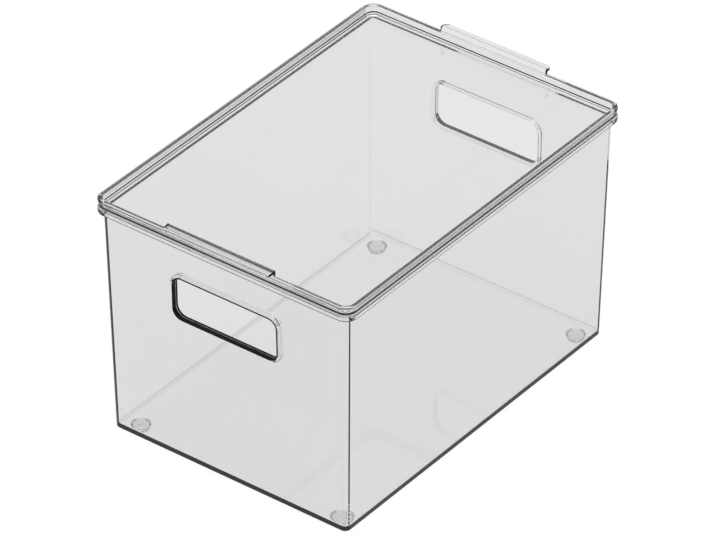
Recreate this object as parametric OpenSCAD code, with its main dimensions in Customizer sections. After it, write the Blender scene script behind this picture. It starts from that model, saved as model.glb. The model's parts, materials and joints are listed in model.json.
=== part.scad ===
// Clear storage box with a lift-off lid, standing on four round feet.
// The box is centred on the origin with +Z up. Its long sides run along Y.
// The ends, at -Y and +Y, each carry a handle slot and a pull tab.

/* [Box] */
// Width over the rim
rim_width = 200; // [150:1:280]
// Length over the rim
rim_length = 284; // [200:1:400]
// Height from the underside of the floor to the top of the rim
body_height = 169; // [120:1:240]
// Thickness of the upright walls
wall = 2.8; // [2:0.1:3.6]
// Thickness of the floor
floor_thickness = 2.8; // [2:0.1:5]
// How far each wall leans in between the rim and the floor
draft = 3.3; // [0:0.1:6]
// Outer radius of the upright corners
corner_radius = 4.5; // [4:0.1:9]
// Radius round the outside of the bottom edge
bottom_radius = 1.6; // [0.5:0.1:3]
// Fillet between the floor and the inside of the walls
floor_fillet = 1.6; // [0.4:0.1:4]

/* [Rim of the box] */
// Radius of the rim's corners, seen from above
rim_radius = 9; // [9:0.5:20]
// Height of the rim band
rim_band = 3.8; // [3:0.1:8]
// How far the rim band stands out past the wall
rim_overhang = 4.1; // [2.5:0.1:5]
// Thickness of the upstand that surrounds the lid's seat
upstand = 2.2; // [1.6:0.1:2.4]
// Depth of the seat below the top of the rim
seat_depth = 2; // [1.5:0.1:2.2]
// Rounding of the rim band's lower edge
rim_round = 1; // [0.4:0.1:1.4]
// Rounding of the rim's upper edges
lip_round = 0.6; // [0.2:0.1:0.7]

/* [Handle slots] */
// Width of each slot
slot_width = 82; // [60:1:110]
// Height of each slot
slot_height = 31.5; // [20:0.5:50]
// Corner radius of each slot
slot_radius = 7; // [3:0.5:9]
// Height of the slot's centre above the underside of the floor
slot_centre = 124; // [60:1:135]
// Rounding of the slot's outer edge
slot_round = 1; // [0.3:0.1:1.5]
// Width of the bead round the slot, inside the box
bead_width = 2; // [1:0.1:4]
// Height of that bead above the wall
bead_height = 1; // [0.4:0.1:2]

/* [Lid] */
// Height of the lid's raised rim above the rim of the box
lid_rise = 6.8; // [5:0.1:14]
// Width of the top of the lid's raised rim
lid_rim_width = 3.4; // [2.8:0.1:4]
// Thickness of the lid's sunken panel
panel_thickness = 2; // [1.5:0.1:3.5]
// How far the tray wall leans in on its way down to the panel
tray_slope = 1.2; // [0:0.1:1.4]
// Fillet between the tray wall and the panel
tray_fillet = 1.6; // [0.4:0.1:1.8]
// Rounding of the raised rim's outer edge
lid_round = 1.3; // [0.4:0.1:1.5]
// Height of the bead that runs round the top of the lid's skirt
skirt_bead = 2.4; // [2:0.1:3.5]
// How far the skirt is set back below that bead
skirt_setback = 0.6; // [0.2:0.1:1]
// Gap between the lid and the box where the lid rests
seat_gap = 0.3; // [0.2:0.05:0.5]
// Gap between the lid's tray and the upstand
side_gap = 0.4; // [0.3:0.05:0.8]

/* [Pull tabs] */
// Length of each tab
tab_length = 83; // [50:1:110]
// Height of each tab above the lid's rim
tab_rise = 4; // [3.2:0.1:8]
// How far each tab reaches out past the lid
tab_reach = 3.9; // [2:0.1:8]
// Thickness of each tab
tab_thickness = 1.8; // [1.4:0.1:2.4]
// Drop of the tab's tip below its back edge
tab_drop = 1; // [0:0.1:1.4]
// Corner radius of each tab, seen from above
tab_radius = 3; // [1:0.1:5]

/* [Feet] */
// Diameter of each foot where it meets the floor
foot_diameter = 13.2; // [8:0.1:18]
// Diameter of each foot where it stands
foot_tip = 10.6; // [6:0.1:18]
// Height of each foot
foot_height = 4; // [2:0.1:10]
// Distance from the foot's centre to the long walls, at the floor
foot_inset_x = 13.2; // [11:0.1:30]
// Distance from the foot's centre to the end walls, at the floor
foot_inset_y = 12.5; // [11:0.1:30]

/* [Hidden] */
$fn = 48;
slack = 0.5;

floor_z = foot_height;
rim_z = floor_z + body_height;
seat_z = rim_z - seat_depth;
wall_height = seat_z - floor_z;
lean = atan(draft / wall_height);

wall_width = rim_width - 2 * rim_overhang;
wall_length = rim_length - 2 * rim_overhang;
base_width = wall_width - 2 * draft;
base_length = wall_length - 2 * draft;
inner_radius = corner_radius - wall;

slot_z = floor_z + slot_centre;
slot_face = base_length / 2 + draft * slot_centre / wall_height;

lid_top = rim_z + lid_rise;
tray_out = upstand + side_gap;
panel_bottom = seat_z + seat_gap;
panel_top = panel_bottom + panel_thickness;
tray_in = lid_rim_width + tray_slope + tray_fillet;

foot_x = base_width / 2 - foot_inset_x;
foot_y = base_length / 2 - foot_inset_y;

// Points along an arc, from one angle to another
function arc(cx, cy, r, from, to, steps = 6) =
    [for (i = [0 : steps]) let (a = from + (to - from) * i / steps) [cx + r * cos(a), cy + r * sin(a)]];

// Puts a copy at each corner of a rectangle
module at_corners(x, y) {
    for (sx = [-1, 1], sy = [-1, 1]) translate([sx * x, sy * y, 0]) children();
}

// Carries a profile round a rounded rectangle. The profile's x runs outward and is 0 on the outline.
module around(width, length, radius) {
    for (side = [0 : 3]) {
        half = (side % 2 == 0 ? width : length) / 2 - radius;
        run = (side % 2 == 0 ? length : width) / 2 - radius;
        rotate(90 * side) translate([half, run, 0]) {
            rotate_extrude(angle = 90) translate([radius, 0]) children();
            rotate([90, 0, 0]) linear_extrude(2 * run) translate([radius, 0]) children();
        }
    }
}

module rounded_rectangle(width, length, radius) {
    square([width - 2 * radius, length], center = true);
    square([width, length - 2 * radius], center = true);
    at_corners(width / 2 - radius, length / 2 - radius) circle(radius);
}

// A disc with its lower edge rounded, standing on z = 0
module rounded_disc(radius, edge, height) {
    rotate_extrude()
        polygon(concat([[0, 0]], arc(radius - edge, edge, edge, -90, 0), [[radius, height], [0, height]]));
}

// A block whose sides lean out by the draft as they rise
module leaning_block(width, length, radius, edge, height, spread) {
    thin = edge + 0.1;
    hull() {
        at_corners(width / 2 - radius, length / 2 - radius) rounded_disc(radius, edge, thin);
        translate([0, 0, height - 0.1])
            at_corners(width / 2 + spread - radius, length / 2 + spread - radius) cylinder(r = radius, h = 0.1);
    }
}

// Section through the rim: a band with an upstand, and the seat that the lid drops into
module rim_section() {
    inner = rim_overhang + wall + slack;
    polygon(concat(
        arc(-rim_round, rim_z - rim_band + rim_round, rim_round, -90, 0),
        arc(-lip_round, rim_z - lip_round, lip_round, 0, 90),
        arc(lip_round - upstand, rim_z - lip_round, lip_round, 90, 180),
        [[-upstand, seat_z], [-inner, seat_z], [-inner, rim_z - rim_band]]));
}

// Everything about a handle slot is drawn on the wall's outer face: x across, y up the wall, z outward
module on_end_wall(end) {
    rotate(end == "front" ? 0 : 180) translate([0, -slot_face, slot_z]) rotate([90 + lean, 0, 0]) children();
}

module slot_bead() {
    tip = -wall - bead_height;
    round_edge = min(bead_width, bead_height) / 2;
    around(slot_width, slot_height, slot_radius)
        polygon(concat(
            [[0, -wall / 2], [0, tip + round_edge]],
            arc(round_edge, tip + round_edge, round_edge, 180, 270, 4),
            arc(bead_width - round_edge, tip + round_edge, round_edge, -90, 0, 4),
            [[bead_width, -wall / 2]]));
}

module slot_cut() {
    depth = wall + bead_height + 2;
    translate([0, 0, -depth]) linear_extrude(depth + 2) rounded_rectangle(slot_width, slot_height, slot_radius);
    around(slot_width, slot_height, slot_radius)
        polygon(concat([[-0.1, 0.2], [slot_round, 0.2]], arc(slot_round, -slot_round, slot_round, 90, 180),
            [[-0.1, -slot_round]]));
}

module bin_body() {
    inner_width = base_width - 2 * wall;
    inner_length = base_length - 2 * wall;
    floor_lean = draft * floor_thickness / wall_height;
    color("gainsboro", 0.45) difference() {
        union() {
            difference() {
                union() {
                    translate([0, 0, floor_z])
                        leaning_block(base_width, base_length, corner_radius, bottom_radius, wall_height, draft);
                    around(rim_width, rim_length, rim_radius) rim_section();
                }
                translate([0, 0, floor_z + floor_thickness])
                    leaning_block(inner_width + 2 * floor_lean, inner_length + 2 * floor_lean,
                        inner_radius, min(floor_fillet, inner_radius - 0.05), wall_height, draft);
            }
            for (end = ["front", "rear"]) on_end_wall(end) slot_bead();
        }
        for (end = ["front", "rear"]) on_end_wall(end) slot_cut();
    }
}

// Section through the lid's edge: skirt, bead, raised rim and the tray wall down to the panel
module lid_section() {
    foot = 0.5;
    edge = 0.6;
    tray_foot = -lid_rim_width - tray_slope;
    polygon(concat(
        [[-tray_in - slack, panel_bottom]],
        arc(-tray_out - edge, panel_bottom + edge, edge, -90, 0, 4),
        [[-tray_out, rim_z + seat_gap]],
        arc(-skirt_setback - foot, rim_z + seat_gap + foot, foot, -90, 0, 4),
        arc(-edge, lid_top - skirt_bead + edge, edge, -90, 0, 4),
        arc(-lid_round, lid_top - lid_round, lid_round, 0, 90),
        arc(1 - lid_rim_width, lid_top - 1, 1, 90, 180, 5),
        arc(tray_foot - tray_fillet, panel_top + tray_fillet, tray_fillet, 0, -90),
        [[-tray_in - slack, panel_top]]));
}

// Section through a pull tab, with x outward from the lid's edge and y up from the top of its rim
module tab_section() {
    back = -lid_rim_width;
    root = back + 2;
    half = tab_thickness / 2;
    bend = 1.2;
    tip = [tab_reach - half, tab_rise - tab_drop - half];
    top = arc(back + bend, tab_rise - bend, bend, 180, 90);
    under = tab_rise - tab_thickness;
    polygon(concat(
        [[back, -1.5]],
        top,
        arc(tip[0], tip[1], half, 82, -90, 8),
        [[root + 0.8, under - tab_drop * 0.35], [root, under - tab_drop * 0.35 - 0.8], [root, -1.5]]));
}

module pull_tab() {
    depth = lid_rim_width + tab_reach;
    flare = 3;
    intersection() {
        translate([0, 0, lid_top]) rotate([90, 0, 90])
            translate([0, 0, -tab_length / 2 - flare]) linear_extrude(tab_length + 2 * flare) tab_section();
        translate([0, tab_reach - depth / 2, 0]) linear_extrude(lid_top + tab_rise + 1)
            rounded_rectangle(tab_length, depth + 2 * tab_radius, tab_radius);
    }
}

module lid() {
    panel = tray_in + slack / 2;
    color("white", 0.45) {
        around(rim_width, rim_length, rim_radius) lid_section();
        translate([0, 0, panel_bottom]) linear_extrude(panel_thickness)
            rounded_rectangle(rim_width - 2 * panel, rim_length - 2 * panel, rim_radius - panel);
        for (turn = [0, 180]) rotate(turn) translate([0, rim_length / 2, 0]) pull_tab();
    }
}

module foot(side_x, side_y) {
    tip = foot_tip / 2;
    edge = min(1.2, foot_height / 3);
    color("whitesmoke", 0.6) translate([side_x * foot_x, side_y * foot_y, 0]) rotate_extrude()
        polygon(concat([[0, 0]], arc(tip - edge, edge, edge, -90, 0), [[foot_diameter / 2, foot_height], [0, foot_height]]));
}

bin_body();
lid();
foot(-1, -1);  // foot_front_left
foot(1, -1);  // foot_front_right
foot(-1, 1);  // foot_rear_left
foot(1, 1);  // foot_rear_right
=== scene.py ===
import json
import math

import bpy
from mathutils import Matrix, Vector


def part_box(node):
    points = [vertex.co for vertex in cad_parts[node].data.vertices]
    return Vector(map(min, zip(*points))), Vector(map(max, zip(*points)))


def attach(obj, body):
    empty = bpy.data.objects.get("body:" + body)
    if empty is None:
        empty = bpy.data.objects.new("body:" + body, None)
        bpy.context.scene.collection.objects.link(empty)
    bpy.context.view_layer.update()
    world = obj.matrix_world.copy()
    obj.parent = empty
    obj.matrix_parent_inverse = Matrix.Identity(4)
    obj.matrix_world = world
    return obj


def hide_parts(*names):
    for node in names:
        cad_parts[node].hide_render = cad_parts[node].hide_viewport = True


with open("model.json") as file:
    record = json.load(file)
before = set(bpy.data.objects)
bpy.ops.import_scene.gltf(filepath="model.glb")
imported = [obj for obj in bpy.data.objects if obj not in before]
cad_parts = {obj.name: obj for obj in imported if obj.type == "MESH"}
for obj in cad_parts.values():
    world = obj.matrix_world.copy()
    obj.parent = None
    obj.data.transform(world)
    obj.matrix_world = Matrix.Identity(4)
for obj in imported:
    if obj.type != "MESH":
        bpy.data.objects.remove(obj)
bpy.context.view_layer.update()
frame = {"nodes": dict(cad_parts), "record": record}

print("frame loaded")


def setStops(stops, levels):
    # A new ramp has a stop at each end, so only those between are added.
    for position, level in levels[1:-1]:
        stops.new(position)
    for stop, (position, level) in zip(stops, levels):
        stop.position = position
        stop.color = (level, level, level, 1)


class Signal:
    # A shader socket that takes part in arithmetic and carries its node tree along.
    def __init__(self, tree, socket=None):
        self.tree = tree
        self.socket = socket

    def node(self, kind, settings, inputs, output=0):
        made = self.tree.nodes.new(kind)
        for name, value in settings.items():
            if name == "stops":
                setStops(made.color_ramp.elements, value)
            else:
                setattr(made, name, value)
        for key, value in inputs.items():
            if isinstance(value, Signal):
                self.tree.links.new(value.socket, made.inputs[key])
            else:
                made.inputs[key].default_value = value
        return Signal(self.tree, made.outputs[output] if made.outputs else None)

    def feed(self, target):
        self.tree.links.new(self.socket, target)

    def maths(self, operation, first, second):
        return self.node("ShaderNodeMath", {"operation": operation}, {0: first, 1: second})

    def larger(self, other):
        return self.maths("MAXIMUM", self, other)

    def __add__(self, other):
        return self.maths("ADD", self, other)

    def __mul__(self, other):
        return self.maths("MULTIPLY", self, other)

    __radd__ = __add__
    __rmul__ = __mul__


# Clear moulded acrylic. The flow is the slow unevenness of a moulded sheet, and the haze its faint marks
# from handling. Colours tint what passes through, from the pale to the deep one along the flow.
boxFinish = {
    "name": "clearBoxAcrylic",
    "pale": (0.955, 0.955, 0.955, 1),
    "deep": (0.945, 0.945, 0.945, 1),
    "density": 4.0,  # loss per metre travelled inside, which darkens the long ways through an edge
    "clarity": 1.0,  # 0 is an opaque finish
    "ior": 1.49,
    "roughness": 0.004,
    "haze": 0.02,
    "hazeScale": 60,
    "hazeDetail": 6.0,
    "hazeFrom": 0.58,
    "hazeTo": 0.8,
    "flowScale": 18,
    "flowDetail": 2.0,
    "flowHeight": 0.00002,
}
lidFinish = boxFinish | {
    "name": "clearLidAcrylic",
    "pale": (0.985, 0.985, 0.985, 1),
    "deep": (0.978, 0.978, 0.978, 1),
    "flowScale": 14,
}
# Painted shade: an opaque near-black finish on clear edges that show dark, as they do in the photograph,
# only from how light passes through them
edgeShadeFinish = boxFinish | {
    "name": "cutEdgeAcrylic",
    "pale": (0.016, 0.016, 0.016, 1),
    "deep": (0.01, 0.01, 0.01, 1),
    "clarity": 0.0,
    "ior": 1.15,
    "roughness": 0.45,
}
# Painted shade: near-black on the lower roundings of the box's rim and of the lid's skirt, which only look
# dark from how light passes through them
rimFoldShadeFinish = edgeShadeFinish | {
    "name": "rimFoldAcrylic",
    "pale": (0.03, 0.03, 0.03, 1),
    "deep": (0.02, 0.02, 0.02, 1),
}
# Painted shade: a darker clear tint on the fillets at the walls' foot, where they face forward
foldShadeFinish = boxFinish | {
    "name": "foldAcrylic",
    "pale": (0.74, 0.74, 0.74, 1),
    "deep": (0.68, 0.68, 0.68, 1),
}
footFinish = boxFinish | {
    "name": "clearFootPlastic",
    "pale": (0.96, 0.96, 0.96, 1),
    "deep": (0.93, 0.93, 0.93, 1),
    "density": 40.0,
    "ior": 1.45,
    "roughness": 0.06,
    "haze": 0.08,
}


def noise(place, scale, detail):
    return place.node("ShaderNodeTexNoise", {}, {"Vector": place, "Scale": scale, "Detail": detail})


def plasticMaterial(finish):
    material = bpy.data.materials.new(finish["name"])
    material.use_nodes = True
    tree = material.node_tree
    shader = tree.nodes["Principled BSDF"]
    start = Signal(tree)
    place = start.node("ShaderNodeTexCoord", {}, {}, "Object")
    flow = noise(place, finish["flowScale"], finish["flowDetail"])
    marks = noise(place, finish["hazeScale"], finish["hazeDetail"])
    hazeRange = {"From Min": finish["hazeFrom"], "From Max": finish["hazeTo"], "To Max": finish["haze"]}
    haze = start.node("ShaderNodeMapRange", {"clamp": True}, {"Value": marks} | hazeRange)
    tints = {0: flow, 6: finish["pale"], 7: finish["deep"]}
    tint = start.node("ShaderNodeMix", {"data_type": "RGBA"}, tints, 2)
    relief = start.node(
        "ShaderNodeBump", {}, {"Strength": 1.0, "Distance": finish["flowHeight"], "Height": flow}
    )
    depth = start.node(
        "ShaderNodeVolumeAbsorption", {}, {"Color": (0, 0, 0, 1), "Density": finish["density"]}
    )
    tint.feed(shader.inputs["Base Color"])
    (haze + finish["roughness"]).feed(shader.inputs["Roughness"])
    relief.feed(shader.inputs["Normal"])
    shader.inputs["Transmission Weight"].default_value = finish["clarity"]
    shader.inputs["IOR"].default_value = finish["ior"]
    depth.feed(tree.nodes["Material Output"].inputs["Volume"])
    return material


boxMaterial = plasticMaterial(boxFinish)
lidMaterial = plasticMaterial(lidFinish)
edgeShadeMaterial = plasticMaterial(edgeShadeFinish)
rimFoldShadeMaterial = plasticMaterial(rimFoldShadeFinish)
foldShadeMaterial = plasticMaterial(foldShadeFinish)
footMaterial = plasticMaterial(footFinish)
print("materials mixed")


def alone(piece):
    bpy.ops.object.select_all(action="DESELECT")
    piece.select_set(True)
    bpy.context.view_layer.objects.active = piece


def paint(piece, material, wanted):
    # Adds the material and gives it to the faces for which wanted says true.
    piece.data.materials.append(material)
    index = len(piece.data.materials) - 1
    for face in piece.data.polygons:
        if wanted(face):
            face.material_index = index


def drawRing(size, middle, radius, steps, width, height, isRound):
    # A flat ring, raised along Z. isRound says which corners of its outline are round.
    bpy.ops.object.select_all(action="DESELECT")
    bpy.ops.mesh.primitive_plane_add(size=1, location=middle)
    ring = bpy.context.object
    bpy.ops.object.transform_apply(location=True)
    bpy.ops.object.mode_set(mode="EDIT")
    bpy.ops.mesh.select_all(action="SELECT")
    bpy.ops.transform.resize(value=(size[0], size[1], 1), center_override=middle)
    bpy.ops.mesh.select_mode(type="VERT")
    bpy.ops.object.mode_set(mode="OBJECT")
    for corner in ring.data.vertices:
        corner.select = isRound(corner.co)
    for other in [*ring.data.edges, *ring.data.polygons]:
        other.select = False
    bpy.ops.object.mode_set(mode="EDIT")
    bpy.ops.mesh.bevel(offset=radius, segments=steps, profile=0.5, affect="VERTICES")
    bpy.ops.mesh.select_mode(type="FACE")
    bpy.ops.mesh.select_all(action="SELECT")
    bpy.ops.mesh.inset(thickness=width, use_even_offset=True)
    bpy.ops.mesh.delete(type="FACE")  # the middle, which the inset leaves selected
    bpy.ops.mesh.select_all(action="SELECT")
    bpy.ops.mesh.extrude_region_move(TRANSFORM_OT_translate={"value": (0, 0, height)})
    bpy.ops.mesh.select_all(action="SELECT")
    bpy.ops.mesh.normals_make_consistent(inside=False)
    bpy.ops.object.mode_set(mode="OBJECT")
    return ring


# The box and the lid are merged copies of their solids, shaded smooth over their rounded edges.
shells = {
    "boxShell": {"node": "bin_body", "body": "box", "slot": "clear_box", "material": boxMaterial},
    "lidShell": {"node": "lid", "body": "lid", "slot": "clear_lid", "material": lidMaterial},
}
smoothing = {"weld": 0.000001, "angle": math.radians(28), "flatness": 100}

# Each pull tab's outer corners are rounded, as seen from above, by a rounded frame that is cut away from it.
tab = {
    "halfLength": 0.0415,
    "cornerRadius": 0.004,
    "steps": 8,
    "frameWidth": 0.0022,
    "frameReach": 0.02,
    "rise": 0.00395,  # how far down from the tab's top the frame starts, just above the lid's rim
    "clear": 0.00002,  # between the frame and the tab's straight sides
}


def roundTab(piece, end):
    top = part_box("lid")[1]
    middle = (0, end * (top[1] + tab["clear"] - tab["frameReach"] / 2), top[2] - tab["rise"])
    across = 2 * (tab["halfLength"] + tab["clear"] + tab["frameWidth"])
    along = tab["frameReach"] + 2 * tab["frameWidth"]
    radius = tab["cornerRadius"] + tab["frameWidth"]
    tabFrame = drawRing(
        (across, along), middle, radius, tab["steps"], tab["frameWidth"], 2 * tab["rise"],
        lambda corner: end * corner.y > abs(middle[1]),
    )
    alone(piece)
    cut = piece.modifiers.new("roundTab", "BOOLEAN")
    cut.operation = "DIFFERENCE"
    cut.object = tabFrame
    bpy.ops.object.modifier_apply(modifier=cut.name)
    bpy.data.objects.remove(tabFrame)


def makeShell(name, part):
    solid = frame["nodes"][part["node"]]
    piece = bpy.data.objects.new(name, solid.data.copy())
    bpy.context.scene.collection.objects.link(piece)
    alone(piece)
    bpy.ops.mesh.customdata_custom_splitnormals_clear()
    bpy.ops.object.mode_set(mode="EDIT")
    bpy.ops.mesh.select_all(action="SELECT")
    bpy.ops.mesh.remove_doubles(threshold=smoothing["weld"])
    bpy.ops.object.mode_set(mode="OBJECT")
    if part["body"] == "lid":
        for end in (-1, 1):
            roundTab(piece, end)
    bpy.ops.object.shade_smooth_by_angle(angle=smoothing["angle"])
    even = piece.modifiers.new("flatWalls", "WEIGHTED_NORMAL")  # keeps the large flat faces optically flat
    even.mode = "FACE_AREA"
    even.weight = smoothing["flatness"]
    even.keep_sharp = True
    bpy.ops.object.modifier_apply(modifier=even.name)
    piece.data.materials.clear()
    piece.data.materials.append(part["material"])
    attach(piece, part["body"])
    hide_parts(part["node"])
    print(name, "made,", len(piece.data.polygons), "faces")
    return piece


# Where the box and the lid show dark in the photograph. Each has a length or two in metres, and limits on
# the parts of a face's normal.
# These pick the faces that get painted shade, near-black or a darker tint, where the clear plastic only
# looks dark.
slotEdge = {"reach": 0.0032, "slope": 0.6, "towards": (0.75, 0.0, 0.66), "least": 0.25}  # round the slot
baseFold = {"top": 0.0095, "steep": 0.12, "flat": 0.5, "front": 0.2}  # above the table
rimFold = {"low": 0.0026, "high": 0.0039, "steep": 0.08, "flat": 0.99}  # below the box's top
skirtFold = {"low": 0.0002, "high": 0.0013, "edge": 0.004}  # above the box's top, and in from its sides
tabEnd = {"depth": 0.0037, "side": 0.8}  # below the lid's top

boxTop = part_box("bin_body")[1]
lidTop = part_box("lid")[1]
openings = frame["record"]["physics"]["openings"]
frontSlot = next(opening["box_m"] for opening in openings if opening["name"] == "front_handle_slot")


def looksUpOrRight(normal):
    return normal.dot(Vector(slotEdge["towards"])) > slotEdge["least"]


def isSlotEdge(face):
    # The front slot's lower and left-hand edges, which get painted shade
    reach = slotEdge["reach"]
    spans = zip(frontSlot[0], face.center, frontSlot[1])
    inside = all(low - reach < at < high + reach for low, at, high in spans)
    return inside and abs(face.normal.y) < slotEdge["slope"] and looksUpOrRight(face.normal)


def isBaseFold(face):
    # The fillets at the walls' foot, where they face forward: outside at the front, and inside at the rear.
    # They get painted shade.
    forward = face.center.z < baseFold["top"] and face.normal.y < -baseFold["front"]
    return forward and baseFold["steep"] < abs(face.normal.z) < baseFold["flat"]


def turnedDown(face):
    # True on a rounding that faces outward and down
    outward = face.normal.x * face.center.x + face.normal.y * face.center.y > 0
    return outward and rimFold["steep"] < -face.normal.z < rimFold["flat"]


def isRimFold(face):
    # The box rim's lower rounding, which gets painted shade
    return rimFold["low"] < boxTop[2] - face.center.z < rimFold["high"] and turnedDown(face)


def isSkirtFold(face):
    # The lid skirt's lower rounding, which gets painted shade
    atSkirt = skirtFold["low"] < face.center.z - boxTop[2] < skirtFold["high"]
    outside = max(abs(face.center.x) - boxTop[0], abs(face.center.y) - boxTop[1]) > -skirtFold["edge"]
    return atSkirt and outside and turnedDown(face)


def isTabEnd(face):
    # The ends of the pull tabs, which get painted shade
    return abs(face.normal.x) > tabEnd["side"] and face.center.z > lidTop[2] - tabEnd["depth"]


made = {shellName: makeShell(shellName, part) for shellName, part in shells.items()}
# Painted shade: near-black on slot edges, rim and skirt roundings and tab ends, a darker tint on the forward
# fillets
paint(made["boxShell"], edgeShadeMaterial, isSlotEdge)
paint(made["boxShell"], foldShadeMaterial, isBaseFold)
paint(made["boxShell"], rimFoldShadeMaterial, isRimFold)
paint(made["lidShell"], edgeShadeMaterial, isTabEnd)
paint(made["lidShell"], rimFoldShadeMaterial, isSkirtFold)

# Rings round the handle slots, parallel to the leaning end walls. The collars deepen the beads inside the
# box, the front collar's lower and left-hand inner faces carry painted shade, and the front slot's outer
# edge has a thin line of painted shade. Sizes are in metres.
slotOutline = {
    "width": 0.082,
    "height": 0.0315,
    "radius": 0.007,
    "steps": 8,
    "centre": 0.12807,
    "lean": math.radians(1.13),
}
collar = {
    "place": 0.13322,  # from the middle of the box to the ring's outer face
    "reach": 0.002,  # how far the ring's outline lies outside the slot's
    "width": 0.002,
    "depth": 0.0018,
    "edgeRound": 0.0005,
    "edgeSteps": 3,
    "facing": 0.9,  # a face whose normal has more than this along the ring's axis is not part of its edge
}
rings = {
    "slotCollar_front": collar | {"outward": -1, "dark": "lower and left"},
    "slotCollar_rear": collar | {"outward": 1, "dark": "none"},
    "slotShadeLine_front": collar | {
        "outward": -1,
        "dark": "all",
        "place": 0.13692,
        "reach": -0.00003,
        "width": 0.0008,
        "depth": 0.0008,
        "edgeRound": 0.0002,
    },
}


# Says which of a ring's faces get painted shade, near-black though the clear plastic there is dark only from
# the light
def isRingShadePainted(face, ring):
    # The ring still lies on its back here, so its own +Y comes to point down.
    towardsSlot = face.center.x * face.normal.x + face.center.y * face.normal.y < 0
    inner = towardsSlot and abs(face.normal.z) < ring["facing"]
    lowerOrLeft = inner and looksUpOrRight(Vector((face.normal.x, 0, -face.normal.y)))
    return ring["dark"] == "all" or ring["dark"] == "lower and left" and lowerOrLeft


def makeRing(name, ring):
    size = (slotOutline["width"] + 2 * ring["reach"], slotOutline["height"] + 2 * ring["reach"])
    radius = slotOutline["radius"] + ring["reach"]
    piece = drawRing(
        size, (0, 0, 0), radius, slotOutline["steps"], ring["width"], ring["depth"], lambda corner: True
    )
    piece.name = name
    rounding = piece.modifiers.new("edgeRound", "BEVEL")
    rounding.width = ring["edgeRound"]
    rounding.segments = ring["edgeSteps"]
    rounding.limit_method = "ANGLE"
    bpy.ops.object.modifier_apply(modifier=rounding.name)
    piece.data.materials.append(boxMaterial)
    paint(piece, edgeShadeMaterial, lambda face: isRingShadePainted(face, ring))
    piece.location = (0, ring["outward"] * ring["place"], slotOutline["centre"])
    turn = 0 if ring["outward"] < 0 else math.pi
    piece.rotation_euler = (slotOutline["lean"] - math.pi / 2, 0, turn)
    bpy.ops.object.transform_apply(location=True, rotation=True, scale=True)
    bpy.ops.object.shade_smooth_by_angle(angle=smoothing["angle"])
    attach(piece, "box")


for ringName, ring in rings.items():
    makeRing(ringName, ring)
print("box and lid dressed")

# Round self-adhesive feet: a tapered puck with a rounded lower edge and a shallow hollow underneath.
foot = {
    "sides": 64,
    "taper": 0.82,  # lower radius as a share of the upper one
    "edgeRound": 0.0011,
    "edgeSteps": 6,
    "hollow": 0.00035,
    "hollowInset": 0.0016,
    "glueGap": 0.00004,
    "sameLevel": 0.00001,  # how nearly level with the underside its faces are
}


def selectLowest(piece, height):
    # Selects, in edit mode, the faces that lie at the piece's lowest level.
    bpy.ops.object.mode_set(mode="OBJECT")
    for face in piece.data.polygons:
        face.select = abs(face.center.z - height) < foot["sameLevel"]
    bpy.ops.object.mode_set(mode="EDIT")


def makeFoot(nodeName):
    low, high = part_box(nodeName)
    radius = (high[0] - low[0]) / 2
    tall = high[2] - low[2] - foot["glueGap"]
    middle = ((low[0] + high[0]) / 2, (low[1] + high[1]) / 2, low[2] + tall / 2)
    bpy.ops.object.select_all(action="DESELECT")
    bpy.ops.mesh.primitive_cylinder_add(vertices=foot["sides"], radius=radius, depth=tall, location=middle)
    piece = bpy.context.object
    piece.name = "bumper_" + nodeName
    bpy.ops.object.transform_apply(location=True, rotation=True, scale=True)
    bpy.ops.object.mode_set(mode="EDIT")
    bpy.ops.mesh.select_mode(type="FACE")
    bpy.ops.mesh.select_all(action="DESELECT")
    selectLowest(piece, low[2])
    underside = (middle[0], middle[1], low[2])
    bpy.ops.transform.resize(value=(foot["taper"], foot["taper"], 1), center_override=underside)
    bpy.ops.mesh.bevel(offset=foot["edgeRound"], segments=foot["edgeSteps"], profile=0.5, affect="EDGES")
    bpy.ops.mesh.select_all(action="DESELECT")
    selectLowest(piece, low[2])
    bpy.ops.mesh.inset(thickness=foot["hollowInset"])
    bpy.ops.mesh.inset(thickness=foot["hollowInset"] / 2)
    bpy.ops.transform.translate(value=(0, 0, foot["hollow"]))
    bpy.ops.object.mode_set(mode="OBJECT")
    bpy.ops.object.shade_smooth_by_angle(angle=smoothing["angle"])
    piece.data.materials.append(footMaterial)
    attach(piece, "box")
    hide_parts(nodeName)


for side in ("front_left", "front_right", "rear_left", "rear_right"):
    makeFoot("foot_" + side)
print("feet made")

# Studio: a pale floor under a soft overhead light, with a thin dark horizon that draws the clear edges.
# The floor glows for the camera, and a little less for what is seen through the plastic or mirrored in it.
studio = {
    "floorRadius": 12.0,
    "floorSides": 96,
    "floorDrop": 0.0001,
    "floorColour": (0.07, 0.07, 0.07, 1),
    "floorGlow": 0.96,
    "floorThrough": 0.765,
    "lampSize": 2.0,
    "lampHeight": 2.2,
    "lampPower": 9,
    "skyStops": ((0.0, 0.02), (0.07, 0.03), (0.12, 0.6), (0.4, 0.7), (1.0, 1.0)),
}


def lightPath(start, *kinds):
    seen = [start.node("ShaderNodeLightPath", {}, {}, kind) for kind in kinds]
    mask = seen[0]
    for other in seen[1:]:
        mask = mask.larger(other)
    return mask


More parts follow.
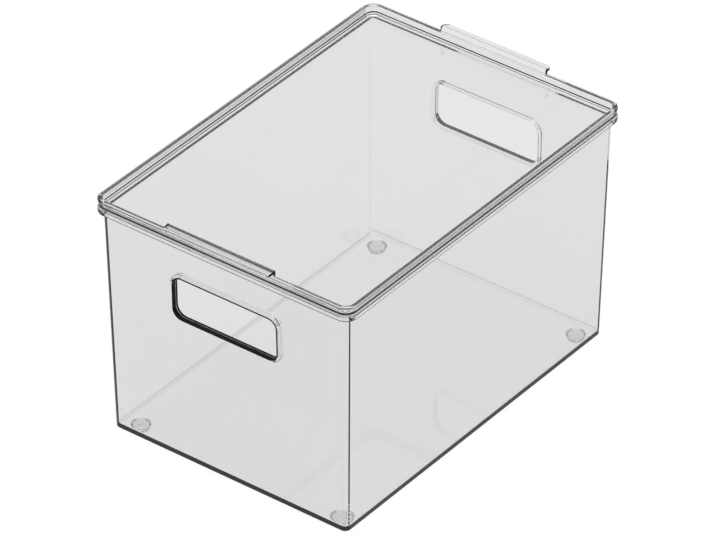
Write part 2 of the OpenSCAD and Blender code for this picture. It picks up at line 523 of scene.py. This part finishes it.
def makeFloor():
    bpy.ops.object.select_all(action="DESELECT")
    place = (0, 0, -studio["floorDrop"])
    bpy.ops.mesh.primitive_circle_add(
        vertices=studio["floorSides"], radius=studio["floorRadius"], fill_type="NGON", location=place
    )
    floor = bpy.context.object
    floor.name = "studioFloor"
    bpy.ops.object.transform_apply(location=True, rotation=True, scale=True)
    material = bpy.data.materials.new("paleFloor")
    material.use_nodes = True
    material.node_tree.nodes.clear()
    start = Signal(material.node_tree)
    direct = lightPath(start, "Is Camera Ray")
    through = lightPath(start, "Is Glossy Ray", "Is Transmission Ray")
    strength = direct * studio["floorGlow"] + through * studio["floorThrough"]
    matt = start.node("ShaderNodeBsdfDiffuse", {}, {"Color": studio["floorColour"]})
    glow = start.node("ShaderNodeEmission", {}, {"Strength": strength})
    both = start.node("ShaderNodeAddShader", {}, {0: matt, 1: glow})
    start.node("ShaderNodeOutputMaterial", {}, {"Surface": both})
    floor.data.materials.append(material)


def makeWorld():
    world = bpy.data.worlds.new("softStudio")
    bpy.context.scene.world = world
    world.use_nodes = True
    world.node_tree.nodes.clear()
    start = Signal(world.node_tree)
    direction = start.node("ShaderNodeTexCoord", {}, {}, "Generated")
    height = start.node("ShaderNodeSeparateXYZ", {}, {0: direction}, "Z")
    level = start.node("ShaderNodeValToRGB", {"stops": studio["skyStops"]}, {0: height})
    sky = start.node("ShaderNodeBackground", {}, {"Color": level, "Strength": 1.0})
    plain = start.node("ShaderNodeBackground", {}, {"Color": (1, 1, 1, 1), "Strength": 1.0})
    shown = start.node("ShaderNodeMixShader", {}, {0: lightPath(start, "Is Camera Ray"), 1: sky, 2: plain})
    start.node("ShaderNodeOutputWorld", {}, {"Surface": shown})


def makeLamp():
    lamp = bpy.data.lights.new("overheadSoftbox", "AREA")
    lamp.size = studio["lampSize"]
    lamp.energy = studio["lampPower"]
    holder = bpy.data.objects.new("overheadSoftbox", lamp)
    holder.location = (0, 0, studio["lampHeight"])
    bpy.context.scene.collection.objects.link(holder)


makeFloor()
makeWorld()
makeLamp()
print("studio made")

# The photograph's viewpoint: its place, in metres from the middle of the footprint, and the way back to it
viewpoint = {
    "place": (2.2136, -2.8918, 2.6435),
    "back": (0.49783, -0.64989, 0.57428),
    "lens": 355.1,
    "sensor": 36,
    "clipEnd": 100,
}
cameraData = bpy.data.cameras.new("photographView")
cameraData.lens = viewpoint["lens"]
cameraData.sensor_width = viewpoint["sensor"]
cameraData.clip_end = viewpoint["clipEnd"]
camera = bpy.data.objects.new("photographView", cameraData)
camera.location = viewpoint["place"]
camera.rotation_mode = "QUATERNION"
camera.rotation_quaternion = (-Vector(viewpoint["back"])).to_track_quat("-Z", "Y")
bpy.context.scene.collection.objects.link(camera)
bpy.context.scene.camera = camera
bpy.context.scene.view_settings.view_transform = "Standard"

# How often light may turn on its way out of the clear rims
bounces = {"max_bounces": 24, "glossy_bounces": 12, "transmission_bounces": 20}
for bounceKind, most in bounces.items():
    setattr(bpy.context.scene.cycles, bounceKind, most)
print("camera set")
